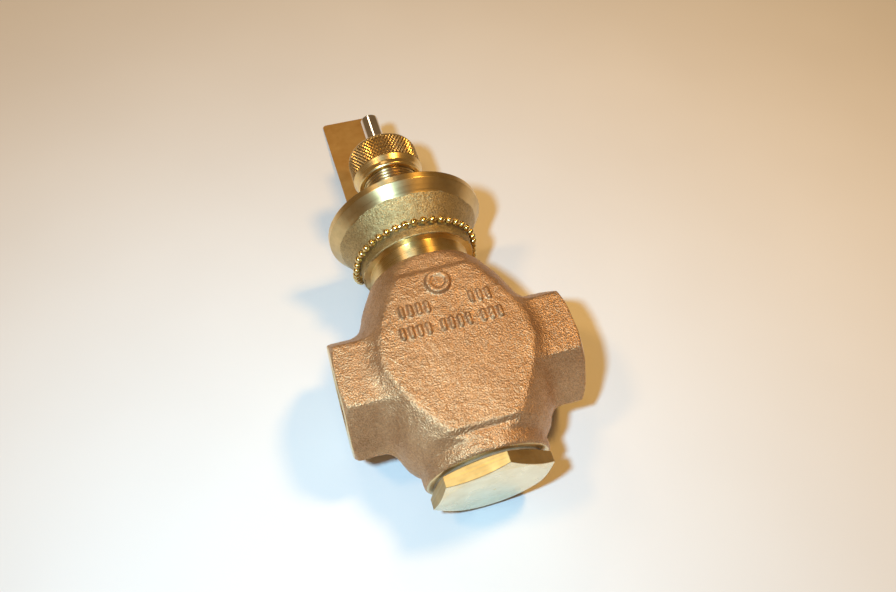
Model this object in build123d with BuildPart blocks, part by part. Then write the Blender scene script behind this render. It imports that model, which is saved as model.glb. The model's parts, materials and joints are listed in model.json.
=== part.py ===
from build123d import *
import math
import os

# A half-inch bronze globe valve lying on its back, with the neck chain and tag beside the stem.
# Heights run along the stem axis from the centre of the pipe line, and radii from the stem axis.

# Pipe ends
face_to_face = 70.0
pipe_hex_flats = 33.0
pipe_thread_r = 18.631 / 2
pipe_thread_depth = 14.0
pipe_mouth_chamfer = 1.1
pipe_corner_r = 16.7
pipe_corner_cut = 1.3

# Barrel of the body
barrel_r = 29.0
barrel_waist = 4.0
neck_r = 17.8
neck_top = 32.3
boss_r = 18.5
boss_face = -31.9
boss_chamfer = 0.8
pad_depth = 19.4
pad_top = 24.2
pad_bottom = -24.4
button_height = 20.0
button_r = 3.9

# Water ways
chamber_r = 11.5
bridge_half = 3.0
duct_r = 7.0
duct_start = 24.0
duct_length = 24.0
screw_r = 14.0
screw_gap = 0.05
screw_depth = 8.6
seat_thread_r = 8.0
seat_bore_r = 6.35
seat_lip = 5.5

# Bonnet
gasket_thickness = 0.6
gasket_r = 15.9
spigot_r = 16.1
spigot_top = 38.1
collar_r = 18.4
collar_top = 43.2
cone_top = 51.0
cone_r = 23.0
rim_bottom = 54.5
rim_top = 56.7
rim_r = 25.75
hub_r = 13.2
hub_top = 58.0
neck_thread_r = 9.525
neck_thread_pitch = 1.27
neck_thread_top = 80.0

# Stem and packing
stem_r = 3.175
stem_top = 105.0
stem_mark = 89.5
stem_mark_half = 0.3
stem_mark_depth = 0.25
stroke = 8.0
running_gap = 0.03
press_gap = 0.01
packing_bore_r = 6.0
packing_floor = 40.0
spring_wire_r = 0.6
spring_turns = 5

# Packing nut
nut_bottom = 73.5
nut_ceiling = 84.0
nut_top = 88.6
knurl_r = 12.2
knurl_bottom = 77.5
knurl_top = 86.1

# Bottom cap
cap_flats = 31.75
cap_turn = -21.0
cap_face = -37.1
cap_face_r = 15.5
cap_corner = -36.2

# Ball chain and tag
bead_r = 1.18
bead_pitch = 3.0
link_r = 0.3
chain_height = 42.5
chain_r = collar_r + bead_r + 0.12
tag_width = 19.0
tag_length = 60.0
tag_thickness = 0.5
tag_far_end = 138.7
tag_middle = -4.0
tag_hole_r = 2.2
tag_hole_inset = 4.0
tag_lift = 3.2

# The valve rests on the edge of its flange and on the lower edge of its back pad, which tips
# the stem up a little. The origin is the middle of the whole part, on the surface it lies on.
tilt = math.atan2(rim_r - pad_depth, rim_bottom - pad_bottom)
centre_height = rim_r * math.cos(tilt) - rim_bottom * math.sin(tilt)
lowest_end = cap_face * math.cos(tilt) - cap_face_r * math.sin(tilt)
centre_along = -(tag_far_end + lowest_end) / 2
CENTRE = Vector(0, centre_along, centre_height)
ACROSS = Vector(1, 0, 0)
ALONG_STEM = Vector(0, math.cos(tilt), math.sin(tilt))
OUT_OF_PAD = Vector(0, -math.sin(tilt), math.cos(tilt))

FRONT = Plane(origin=CENTRE, x_dir=ACROSS, z_dir=OUT_OF_PAD)
SQUARE_TO_STEM = Plane(origin=CENTRE, x_dir=ACROSS, z_dir=ALONG_STEM)
SQUARE_TO_PIPE = Plane(origin=CENTRE, x_dir=ALONG_STEM, z_dir=ACROSS)
STEM_AXIS = Axis(CENTRE, ALONG_STEM)
BOTH_ENDS = (-1, 1)

os.makedirs("parts", exist_ok=True)


def turned(*outline):
    """A piece turned round the stem axis from a closed outline of (radius, height) points."""
    with BuildPart() as piece:
        with BuildSketch(FRONT):
            with BuildLine():
                Polyline(*outline, close=True)
            make_face()
        revolve(axis=STEM_AXIS)
    return piece


def ring(inner, outer, low, high):
    """A plain ring round the stem axis."""
    return turned((inner, low), (outer, low), (outer, high), (inner, high))


def save(piece, name):
    """Label a finished piece and write its STEP file."""
    piece.part.label = name
    export_step(piece.part, f"parts/{name}.step")


# Hexagonal pipe ends, with the corners turned off at each face
with BuildPart() as pipe_hex:
    with BuildSketch(SQUARE_TO_PIPE):
        RegularPolygon(radius=pipe_hex_flats / 2, side_count=6, major_radius=False)
    extrude(amount=face_to_face / 2, both=True)
    with BuildSketch(FRONT):
        with BuildLine():
            Polyline(
                (-face_to_face / 2, 0),
                (-face_to_face / 2, pipe_corner_r),
                (-face_to_face / 2 + pipe_corner_cut, pipe_hex_flats * 0.58),
                (face_to_face / 2 - pipe_corner_cut, pipe_hex_flats * 0.58),
                (face_to_face / 2, pipe_corner_r),
                (face_to_face / 2, 0),
                close=True,
            )
        make_face()
    revolve(axis=Axis(CENTRE, ACROSS), mode=Mode.INTERSECT)

# Body: a double cone flattened front and back, crossed by the hexagonal pipe ends, with an
# S-shaped bridge between the lower chamber (inlet side) and the upper chamber (outlet side).
with BuildPart() as body:
    with BuildSketch(FRONT):
        with BuildLine():
            Polyline(
                (0, neck_top),
                (neck_r, neck_top),
                (neck_r + 1.2, 30.5),
                (22.6, 24.0),
                (26.0, 14.6),
                (28.4, 7.0),
                (barrel_r, barrel_waist),
                (barrel_r, -barrel_waist),
                (26.4, -12.0),
                (23.6, -19.5),
                (21.6, -24.2),
                (boss_r, -27.6),
                (boss_r, boss_face + boss_chamfer),
                (boss_r - boss_chamfer, boss_face),
                (0, boss_face),
                close=True,
            )
        make_face()
    revolve(axis=STEM_AXIS)
    # In SQUARE_TO_PIPE, x is the height along the stem and y the depth out of the pad.
    with BuildSketch(SQUARE_TO_PIPE):
        with BuildLine():
            Polyline(
                (neck_top, 0),
                (neck_top, neck_r),
                (pad_top + 2.0, neck_r + 0.4),
                (pad_top, pad_depth),
                (pad_bottom, pad_depth),
                (pad_bottom - 1.5, boss_r),
                (boss_face, boss_r),
                (boss_face, 0),
                close=True,
            )
        make_face()
        mirror(about=Plane.XZ)
    extrude(amount=barrel_r, both=True, mode=Mode.INTERSECT)
    add(pipe_hex.part)
    # Button on the front pad: a raised ring round a dished middle
    with BuildSketch(FRONT.offset(pad_depth - 0.5)):
        with Locations((0, button_height)):
            Circle(button_r)
            Circle(button_r - 1.2, mode=Mode.SUBTRACT)
    extrude(amount=1.2)
    # Screwed bores for the bonnet and the bottom cap, each with its chamber behind it
    screw_room = screw_depth + 1.0
    for mouth, floor, way_out in ((neck_top, bridge_half, 1), (boss_face, -bridge_half, -1)):
        with BuildSketch(FRONT):
            with BuildLine():
                Polyline(
                    (0, floor),
                    (chamber_r, floor),
                    (chamber_r, mouth - way_out * screw_room),
                    (screw_r, mouth - way_out * screw_room),
                    (screw_r, mouth),
                    (0, mouth),
                    close=True,
                )
            make_face()
        revolve(axis=STEM_AXIS, mode=Mode.SUBTRACT)
    # Threaded hole in the bridge for the seat ring
    with BuildSketch(SQUARE_TO_STEM.offset(-bridge_half)):
        Circle(seat_thread_r)
    extrude(amount=2 * bridge_half, mode=Mode.SUBTRACT)
    # Pipe threads, and slanted ducts from them to the chambers: the inlet side goes down
    # to the lower chamber and the outlet side goes up to the upper chamber.
    for end in BOTH_ENDS:
        with BuildSketch(SQUARE_TO_PIPE.offset(end * face_to_face / 2)):
            Circle(pipe_thread_r)
        extrude(amount=-end * pipe_thread_depth, mode=Mode.SUBTRACT)
        duct_mouth = CENTRE + ACROSS * (end * duct_start)
        duct_way = (ALONG_STEM - ACROSS) * end
        with BuildSketch(Plane(origin=duct_mouth, x_dir=OUT_OF_PAD, z_dir=duct_way)):
            Circle(duct_r)
        extrude(amount=duct_length, mode=Mode.SUBTRACT)
    mouths = body.edges().filter_by(GeomType.CIRCLE).filter_by(
        lambda edge: abs(edge.radius - pipe_thread_r) < 0.01
        and abs(abs(edge.arc_center.X) - face_to_face / 2) < 0.01
    )
    chamfer(mouths, pipe_mouth_chamfer)
save(body, "body")

# Bonnet: screwed spigot, polished cylinder, collar, cone, flange, hub and threaded neck
bonnet_bottom = neck_top - screw_depth
bonnet_shoulder = neck_top + gasket_thickness
plug_room_r = 8.0
plug_room_top = 28.5
guide_bore_r = 5.0
thread_depth = 0.7
with BuildPart() as bonnet:
    with BuildSketch(FRONT):
        with BuildLine():
            Polyline(
                (plug_room_r, bonnet_bottom),
                (screw_r - screw_gap, bonnet_bottom),
                (screw_r - screw_gap, bonnet_shoulder),
                (spigot_r, bonnet_shoulder),
                (spigot_r, spigot_top),
                (collar_r, spigot_top + 0.8),
                (collar_r, collar_top),
                (cone_r, cone_top),
                (rim_r, rim_bottom),
                (rim_r, rim_top),
                (hub_r, rim_top),
                (hub_r, hub_top),
                (neck_thread_r - thread_depth, hub_top),
                (neck_thread_r - thread_depth, hub_top + 1.5),
                (neck_thread_r, hub_top + 2.2),
                (neck_thread_r, neck_thread_top - 1.0),
                (neck_thread_r - 1.0, neck_thread_top),
                (packing_bore_r, neck_thread_top),
                (packing_bore_r, packing_floor),
                (guide_bore_r, packing_floor),
                (guide_bore_r, plug_room_top),
                (plug_room_r, plug_room_top),
                close=True,
            )
        make_face()
    revolve(axis=STEM_AXIS)
    # Thread grooves, one ring for each pitch
    groove_count = int((neck_thread_top - hub_top - 5.0) / neck_thread_pitch)
    for groove in range(groove_count):
        groove_height = hub_top + 4.0 + groove * neck_thread_pitch
        with BuildSketch(FRONT):
            with BuildLine():
                Polyline(
                    (neck_thread_r + 0.1, groove_height - 0.55),
                    (neck_thread_r + 0.1, groove_height + 0.55),
                    (neck_thread_r - thread_depth, groove_height),
                    close=True,
                )
            make_face()
        revolve(axis=STEM_AXIS, mode=Mode.SUBTRACT)
save(bonnet, "bonnet")

bonnet_gasket = ring(screw_r + 0.1, gasket_r, neck_top, bonnet_shoulder)
save(bonnet_gasket, "bonnet_gasket")

# Bottom cap: a hexagon with a round-chamfered face and a hollow screwed plug
cap_back = boss_face - gasket_thickness
cap_plug_top = boss_face + screw_depth
with BuildPart() as bottom_cap:
    with BuildSketch(SQUARE_TO_STEM.offset(cap_face)):
        RegularPolygon(radius=cap_flats / 2, side_count=6, major_radius=False, rotation=cap_turn)
    extrude(amount=cap_back - cap_face)
    with BuildSketch(FRONT):
        with BuildLine():
            Polyline(
                (0, cap_face),
                (cap_face_r, cap_face),
                (cap_flats / math.sqrt(3), cap_corner),
                (cap_flats / math.sqrt(3), cap_back - 0.6),
                (cap_flats / 2, cap_back),
                (0, cap_back),
                close=True,
            )
        make_face()
    revolve(axis=STEM_AXIS, mode=Mode.INTERSECT)
    with BuildSketch(SQUARE_TO_STEM.offset(cap_back)):
        Circle(screw_r - screw_gap)
    extrude(amount=cap_plug_top - cap_back)
    with BuildSketch(SQUARE_TO_STEM.offset(cap_back)):
        Circle(chamber_r - 1.0)
    extrude(amount=cap_plug_top - cap_back, mode=Mode.SUBTRACT)
save(bottom_cap, "bottom_cap")

bottom_cap_gasket = ring(screw_r + 0.1, gasket_r, cap_back, boss_face)
save(bottom_cap_gasket, "bottom_cap_gasket")

# Seat ring, screwed into the bridge from above, with a narrow lip
seat_flange_r = 10.4
seat_ring = turned(
    (seat_bore_r, -bridge_half),
    (seat_thread_r - screw_gap, -bridge_half),
    (seat_thread_r - screw_gap, bridge_half),
    (seat_flange_r, bridge_half),
    (seat_flange_r, seat_lip - 1.0),
    (seat_bore_r + 1.2, seat_lip),
    (seat_bore_r, seat_lip),
)
save(seat_ring, "seat_ring")

# Plug: a holder for the soft disc with a hub for the stem, drawn open, one stroke off the seat
disc_bottom = seat_lip + stroke + 0.1
disc_thickness = 3.0
holder_bottom = disc_bottom + disc_thickness
holder_top = 20.6
hub_end = 27.6
disc_r = 8.6
disc_hole_r = 3.0
pin_height = 24.2
pin_r = 1.0
plug_hub_r = 5.6
with BuildPart() as plug:
    with BuildSketch(FRONT):
        with BuildLine():
            Polyline(
                (0, disc_bottom),
                (disc_hole_r, disc_bottom),
                (disc_hole_r, holder_bottom),
                (disc_r + 0.1, holder_bottom),
                (disc_r + 0.1, disc_bottom + 0.8),
                (disc_r + 1.0, disc_bottom + 0.8),
                (disc_r + 1.0, holder_top),
                (plug_hub_r, holder_top + 0.6),
                (plug_hub_r, hub_end),
                (stem_r + running_gap, hub_end),
                (stem_r + running_gap, holder_bottom + 2.0),
                (0, holder_bottom + 2.0),
                close=True,
            )
        make_face()
    revolve(axis=STEM_AXIS)
    with BuildSketch(Plane(origin=CENTRE + ALONG_STEM * pin_height, z_dir=OUT_OF_PAD)):
        Circle(pin_r + running_gap)
    extrude(amount=plug_hub_r + 1.0, both=True, mode=Mode.SUBTRACT)
save(plug, "plug")

plug_disc = ring(disc_hole_r + 0.02, disc_r, disc_bottom, holder_bottom)
save(plug_disc, "plug_disc")

# Contoured retainer that clamps the disc and guides the plug in the seat bore
retainer_bottom = disc_bottom - 7.5
disc_retainer = turned(
    (0, retainer_bottom),
    (3.0, retainer_bottom),
    (seat_bore_r - 1.2, disc_bottom - 3.5),
    (seat_bore_r - 0.35, disc_bottom - 1.2),
    (seat_bore_r - 0.35, disc_bottom),
    (0, disc_bottom),
)
save(disc_retainer, "disc_retainer")

with BuildPart() as stem:
    with BuildSketch(SQUARE_TO_STEM.offset(holder_bottom + 2.0)):
        Circle(stem_r)
    extrude(amount=stem_top - holder_bottom - 2.0)
    chamfer(stem.faces().sort_by(Axis.Y)[-1].edges(), 0.5)
    with BuildSketch(Plane(origin=CENTRE + ALONG_STEM * pin_height, z_dir=OUT_OF_PAD)):
        Circle(pin_r + running_gap)
    extrude(amount=stem_r + 1.0, both=True, mode=Mode.SUBTRACT)
    # Grip mark: a shallow groove where an actuator's coupling stops
    with BuildSketch(SQUARE_TO_STEM.offset(stem_mark - stem_mark_half)):
        Circle(stem_r + 1.0)
        Circle(stem_r - stem_mark_depth, mode=Mode.SUBTRACT)
    extrude(amount=2 * stem_mark_half, mode=Mode.SUBTRACT)
save(stem, "stem")

with BuildPart() as plug_pin:
    with BuildSketch(Plane(origin=CENTRE + ALONG_STEM * pin_height, z_dir=OUT_OF_PAD)):
        Circle(pin_r)
    extrude(amount=plug_hub_r - 0.2, both=True)
save(plug_pin, "plug_pin")

# Guide bush and packing set, from the floor of the packing bore upwards
guide_r = stem_r + running_gap
packing_inner_r = stem_r + 2 * running_gap
packing_outer_r = packing_bore_r - running_gap
stem_guide_bush = ring(guide_r, guide_bore_r - press_gap, plug_room_top, packing_floor - 0.2)
save(stem_guide_bush, "stem_guide_bush")

washer_top = packing_floor + 1.2
packing_washer = ring(packing_inner_r, packing_outer_r, packing_floor, washer_top)
save(packing_washer, "packing_washer")

spring_top = 54.0
spring_r = (packing_inner_r + packing_outer_r) / 2
spring_rise = spring_top - washer_top - 2 * spring_wire_r - 0.1
spring_start = CENTRE + ALONG_STEM * (washer_top + spring_wire_r + 0.05)
with BuildPart() as packing_spring:
    with BuildLine() as coil:
        Helix(spring_rise / spring_turns, spring_rise, spring_r, spring_start, ALONG_STEM)
    with BuildSketch(Plane(origin=coil.line @ 0, z_dir=coil.line % 0)):
        Circle(spring_wire_r)
    sweep()
save(packing_spring, "packing_spring")

packing_middle_r = (packing_inner_r + packing_outer_r) / 2
v_rise = 1.3
v_step = 2.0
ring_count = 3
lower_adapter_top = 57.0
packing_lower_adapter = turned(
    (packing_inner_r, spring_top),
    (packing_outer_r, spring_top),
    (packing_outer_r, lower_adapter_top),
    (packing_middle_r, lower_adapter_top + v_rise),
    (packing_inner_r, lower_adapter_top),
)
save(packing_lower_adapter, "packing_lower_adapter")

with BuildPart() as packing_v_rings:
    for index in range(ring_count):
        v_bottom = lower_adapter_top + index * v_step + 0.05
        v_top = v_bottom + v_step - 0.1
        with BuildSketch(FRONT):
            with BuildLine():
                Polyline(
                    (packing_inner_r, v_bottom),
                    (packing_middle_r, v_bottom + v_rise),
                    (packing_outer_r, v_bottom),
                    (packing_outer_r, v_top),
                    (packing_middle_r, v_top + v_rise),
                    (packing_inner_r, v_top),
                    close=True,
                )
            make_face()
        revolve(axis=STEM_AXIS)
save(packing_v_rings, "packing_v_rings")

upper_adapter_bottom = lower_adapter_top + ring_count * v_step + 0.05
upper_adapter_top = upper_adapter_bottom + 3.5
packing_upper_adapter = turned(
    (packing_inner_r, upper_adapter_bottom),
    (packing_middle_r, upper_adapter_bottom + v_rise),
    (packing_outer_r, upper_adapter_bottom),
    (packing_outer_r, upper_adapter_top),
    (packing_inner_r, upper_adapter_top),
)
save(packing_upper_adapter, "packing_upper_adapter")

# Gland follower: a sleeve in the packing bore with a flange that the nut presses on
follower_flange = neck_thread_top + 0.4
gland_follower = turned(
    (packing_inner_r, upper_adapter_top),
    (packing_outer_r, upper_adapter_top),
    (packing_outer_r, follower_flange),
    (neck_thread_r - 1.3, follower_flange),
    (neck_thread_r - 1.3, nut_ceiling - 0.05),
    (packing_inner_r, nut_ceiling - 0.05),
)
save(gland_follower, "gland_follower")

# Packing nut: a lower ring, a knurled band and a rounded crown round the wiper
nut_bore_r = neck_thread_r + 0.12
wiper_r = 4.9
with BuildPart() as packing_nut:
    with BuildSketch(FRONT):
        with BuildLine():
            Polyline(
                (nut_bore_r, nut_bottom),
                (11.05, nut_bottom),
                (11.5, nut_bottom + 0.8),
                (11.5, knurl_bottom - 2.0),
                (10.9, knurl_bottom - 1.2),
                (knurl_r, knurl_bottom),
                (knurl_r, knurl_top),
            )
            RadiusArc((knurl_r, knurl_top), (9.6, nut_top), -3.4)
            Polyline(
                (9.6, nut_top),
                (wiper_r, nut_top),
                (wiper_r, nut_top - 2.4),
                (stem_r + 0.35, nut_top - 2.4),
                (stem_r + 0.35, nut_ceiling),
                (nut_bore_r, nut_ceiling),
                (nut_bore_r, nut_bottom),
            )
        make_face()
    revolve(axis=STEM_AXIS)
save(packing_nut, "packing_nut")

stem_wiper = ring(guide_r, wiper_r - running_gap, nut_top - 2.37, nut_top + 0.2)
save(stem_wiper, "stem_wiper")


def beside(across, along, height):
    """A point over the surface, measured along it from below the middle of the valve."""
    return Vector(across, centre_along + along, height)


# Tag: a thin plate with its far edge on the surface and its hole held up by the chain
tag_slope = math.atan2(tag_lift, tag_length)
tag_dir = Vector(0, math.cos(tag_slope), -math.sin(tag_slope))
tag_normal = Vector(0, math.sin(tag_slope), math.cos(tag_slope))
tag_centre = beside(tag_middle, tag_far_end, 0) - tag_dir * (tag_length / 2)
hole_from_middle = tag_length / 2 - tag_hole_inset
TAG_PLANE = Plane(origin=tag_centre, x_dir=ACROSS, z_dir=tag_normal)
with BuildPart() as tag:
    with BuildSketch(TAG_PLANE):
        RectangleRounded(tag_width, tag_length, 1.6)
        with Locations((0, -hole_from_middle)):
            Circle(tag_hole_r, mode=Mode.SUBTRACT)
    extrude(amount=tag_thickness)
save(tag, "tag")

# Ball chain: over the collar of the bonnet, down both sides to the surface, under the flange
# and through the hole of the tag. The route is one closed curve through these points.
over_collar = [
    CENTRE
    + ALONG_STEM * chain_height
    + ACROSS * (chain_r * math.cos(math.radians(angle)))
    + OUT_OF_PAD * (chain_r * math.sin(math.radians(angle)))
    for angle in range(0, 181, 18)
]
hole = tag_centre - tag_dir * hole_from_middle
left_strand = [
    beside(-19.6, 44.6, 18.0),
    beside(-17.8, 47.9, 11.0),
    beside(-16.9, 51.8, 6.9),
    beside(-16.6, 57.1, 3.8),
    beside(-15.2, 62.2, 2.3),
    beside(-13.4, 67.0, 2.2),
    beside(-10.6, 71.5, 2.8),
    beside(-7.6, 76.3, 4.9),
    beside(-5.2, 80.8, 5.7),
]
through_hole = [hole + tag_normal * (tag_thickness / 2)]
right_strand = [
    beside(-2.4, 80.8, 1.6),
    beside(1.6, 75.0, 1.5),
    beside(8.0, 67.0, 1.4),
    beside(14.2, 58.5, 1.5),
    beside(17.8, 52.0, 2.2),
    beside(20.0, 47.5, 4.8),
    beside(20.6, 44.5, 10.0),
    beside(20.2, 42.8, 17.5),
]
with BuildLine() as route:
    Spline(*over_collar, *left_strand, *through_hole, *right_strand, periodic=True)
loop = route.edge()
bead_count = round(loop.length / bead_pitch)
# The hole of the tag takes the wire between two balls.
hole_at = loop.param_at_point(through_hole[0])
bead_places = [
    loop.position_at((hole_at + (bead + 0.5) / bead_count) % 1) for bead in range(bead_count)
]
print("chain length", round(loop.length, 1), "balls", bead_count)

with BuildPart() as chain_beads:
    with Locations(*bead_places):
        Sphere(bead_r)
save(chain_beads, "chain_beads")

with BuildPart() as chain_links:
    for here, following in zip(bead_places, bead_places[1:] + bead_places[:1]):
        span = following - here
        gap = span.length - 2 * bead_r
        start = here + span.normalized() * bead_r
        with BuildSketch(Plane(origin=start, z_dir=span)):
            Circle(link_r)
        extrude(amount=gap)
save(chain_links, "chain_links")

# Connector: a slotted sleeve that snaps over two balls, on the strand that rests below the flange
connector_length = 7.0
connector_r = 1.75
connector_bore_r = 1.45
connector_slot = 0.9
clasp_at = (hole_at - 9 / bead_count) % 1
clasp_middle = loop.position_at(clasp_at)
CLASP_PLANE = Plane(origin=clasp_middle, x_dir=ACROSS, z_dir=loop.tangent_at(clasp_at))
with BuildPart() as chain_connector:
    with BuildSketch(CLASP_PLANE):
        Circle(connector_r)
        Circle(connector_bore_r, mode=Mode.SUBTRACT)
        with Locations((connector_r, 0)):
            Rectangle(2 * connector_r, connector_slot, mode=Mode.SUBTRACT)
    extrude(amount=connector_length / 2, both=True)
save(chain_connector, "chain_connector")
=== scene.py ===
import math
import json

import bpy
import numpy as np
import openvdb
from mathutils import Matrix, Vector


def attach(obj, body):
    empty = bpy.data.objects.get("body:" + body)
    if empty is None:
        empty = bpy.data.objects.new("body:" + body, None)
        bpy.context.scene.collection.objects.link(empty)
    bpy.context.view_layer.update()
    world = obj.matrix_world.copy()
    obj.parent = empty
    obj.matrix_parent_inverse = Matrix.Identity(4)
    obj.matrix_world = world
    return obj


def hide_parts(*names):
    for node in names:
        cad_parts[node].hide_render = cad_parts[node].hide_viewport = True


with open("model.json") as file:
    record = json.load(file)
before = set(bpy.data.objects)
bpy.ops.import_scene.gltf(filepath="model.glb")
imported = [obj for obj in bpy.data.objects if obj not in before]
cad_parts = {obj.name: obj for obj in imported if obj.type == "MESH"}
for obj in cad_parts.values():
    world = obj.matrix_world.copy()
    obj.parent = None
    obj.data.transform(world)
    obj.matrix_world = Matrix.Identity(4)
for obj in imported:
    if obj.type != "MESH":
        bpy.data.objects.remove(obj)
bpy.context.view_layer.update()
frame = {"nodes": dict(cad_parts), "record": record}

# ---------------------------------------------------------------------------------------------
# The valve's own frame, in millimetres: x along the pipe, y up the stem, z out of the front pad.
# It comes from the record's mounts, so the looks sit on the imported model.
# ---------------------------------------------------------------------------------------------
MM = 0.001
mounts = {mount["name"]: mount for mount in frame["record"]["mounts"]}
stem_dir = Vector(mounts["stem_end"]["axis"]).normalized()
across_dir = Vector(mounts["outlet"]["axis"]).normalized()
pad_dir = across_dir.cross(stem_dir)
valve_centre = (Vector(mounts["inlet"]["pos_m"]) + Vector(mounts["outlet"]["pos_m"])) / 2
VALVE_TURN = Matrix((across_dir, stem_dir, pad_dir)).transposed()
VALVE = Matrix.Translation(valve_centre) @ VALVE_TURN.to_4x4()
BODY = "valve"

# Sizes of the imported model, in millimetres
HALF_LENGTH = 35.0
HEX_HALF = 16.5
CORNER_R = 16.7
CORNER_CUT = 1.3
PIPE_BORE_R = 18.631 / 2
PIPE_THREAD_DEPTH = 14.0
PAD_DEPTH = 19.4
NECK_TOP = 32.3
NECK_R = 17.8
BOSS_FACE = -31.9
BOSS_R = 18.5
BOSS_CHAMFER = 0.8
SCREW_R = 14.0
SCREW_GAP = 0.05
SCREW_FLOOR = 22.0
CHAMBER_R = 11.5
BRIDGE_HALF = 3.0
SEAT_THREAD_R = 8.0
DUCT_R = 7.0
DUCT_START = 24.0
DUCT_LENGTH = 24.0
BONNET_BOTTOM = 23.7
SPIGOT_R = 16.1
COLLAR_R = 18.4
CONE_R = 23.0
CONE_TOP = 51.0
RIM_R = 25.72
RIM_BOTTOM = 54.5
RIM_TOP = 56.7
HUB_R = 13.2
HUB_TOP = 58.0
NECK_THREAD_R = 9.525
NECK_THREAD_PITCH = 1.27
NECK_THREAD_DEPTH = 0.7
NECK_THREAD_TOP = 80.0
PACKING_BORE_R = 6.0
PACKING_FLOOR = 40.0
NUT_BORE_R = 9.62
NUT_BOTTOM = 73.5
NUT_CEILING = 84.0
NUT_TOP = 88.6
KNURL_R = 12.2
WIPER_R = 4.9
CAP_HALF = 15.875
CAP_FACE = -37.1
CAP_BACK = -32.5
CAP_PLUG_TOP = -23.3
CAP_TURN = 21.0
STEM_R = 3.175
STEM_BOTTOM = 18.6
STEM_TOP = 105.0
GRIP_MARK = 89.5

# Foundry marks on the front pad: rows at a height, each with groups of (middle, bars)
BUTTON_HEIGHT = 20.0
MARK_PITCH = 2.5
MARK_HALF = 1.3
MARK_ROWS = (
    (12.9, ((-9.0, 4), (10.4, 3))),
    (6.2, ((-10.4, 4), (1.4, 4), (12.0, 3))),
)
RNG_SEED = 7


def to_row(points):
    """Valve-frame millimetres to row-frame metres."""
    turn = np.array(VALVE_TURN)
    return points * MM @ turn.T + np.array(valve_centre)


# ---------------------------------------------------------------------------------------------
# Mesh helpers
# ---------------------------------------------------------------------------------------------
def make_object(name, points, faces, material, body, stands_for=(), sharp=32.0):
    """A smooth-shaded mesh object in the row frame that rides on a body. material is one look, or
    a list of looks with the number of the look for each face."""
    looks, look_of_face = material if isinstance(material, tuple) else ([material], None)
    mesh = bpy.data.meshes.new(name)
    mesh.from_pydata([tuple(p) for p in points], [], [tuple(f) for f in faces])
    mesh.shade_smooth()
    if sharp is not None:
        mesh.set_sharp_from_angle(angle=math.radians(sharp))
    piece = bpy.data.objects.new(name, mesh)
    bpy.context.scene.collection.objects.link(piece)
    for look in looks:
        mesh.materials.append(look)
    if look_of_face is not None:
        mesh.polygons.foreach_set("material_index", look_of_face.astype(np.int32))
    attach(piece, body)
    if stands_for:
        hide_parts(*stands_for)
    return piece


def grid_faces(rows, columns, close_rows):
    """Quads of a grid whose columns wrap round, and whose rows wrap if close_rows."""
    row = np.arange(rows if close_rows else rows - 1)[:, None]
    column = np.arange(columns)[None, :]
    below = row * columns
    above = ((row + 1) % rows) * columns
    right = (column + 1) % columns
    quads = np.stack([below + column, below + right, above + right, above + column], axis=-1)
    return quads.reshape(-1, 4)


def rounded(outline, radius, steps=3):
    """A closed (radius, height) outline with each corner turned into a small arc."""
    points = []
    count = len(outline)
    for index, corner in enumerate(outline):
        corner = np.array(corner[:2], float)
        before = np.array(outline[index - 1][:2], float) - corner
        after = np.array(outline[(index + 1) % count][:2], float) - corner
        size = outline[index][2] if len(outline[index]) > 2 else radius
        reach = min(size, 0.45 * np.linalg.norm(before), 0.45 * np.linalg.norm(after))
        start = corner + before / np.linalg.norm(before) * reach
        end = corner + after / np.linalg.norm(after) * reach
        for step in range(steps + 1):
            t = step / steps
            points.append((1 - t) ** 2 * start + 2 * t * (1 - t) * corner + t**2 * end)
    return np.array(points)


def subdivided(outline, longest):
    """The same closed outline with no stretch longer than longest."""
    points = []
    for here, following in zip(outline, np.roll(outline, -1, axis=0)):
        pieces = max(1, math.ceil(np.linalg.norm(following - here) / longest))
        for step in range(pieces):
            points.append(here + (following - here) * step / pieces)
    return np.array(points)


def lathe(outline, segments, relief=None):
    """Valve-frame points and faces of a closed outline turned round the stem axis. relief(angle,
    radius, height) gives how far each point moves outwards."""
    angle = np.linspace(0, 2 * math.pi, segments, endpoint=False)[None, :]
    radius = outline[:, 0][:, None] * np.ones_like(angle)
    height = outline[:, 1][:, None] * np.ones_like(angle)
    if relief is not None:
        radius = radius + relief(angle, radius, height)
    points = np.stack([radius * np.cos(angle), height, -radius * np.sin(angle)], axis=-1)
    return points.reshape(-1, 3), grid_faces(len(outline), segments, True)


def face_centres(points, faces):
    """The middle of each face as separate x, height and z arrays, and its radius from the stem."""
    x, y, z = points[faces].mean(axis=1).T
    return x, y, z, np.hypot(x, z)


def smooth_min(a, b, k):
    """The smaller of two distances, blended over k."""
    h = np.clip(0.5 + 0.5 * (b - a) / k, 0, 1)
    return b * (1 - h) + a * h - k * h * (1 - h)


def smooth_max(a, b, k):
    return -smooth_min(-a, -b, k)


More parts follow.
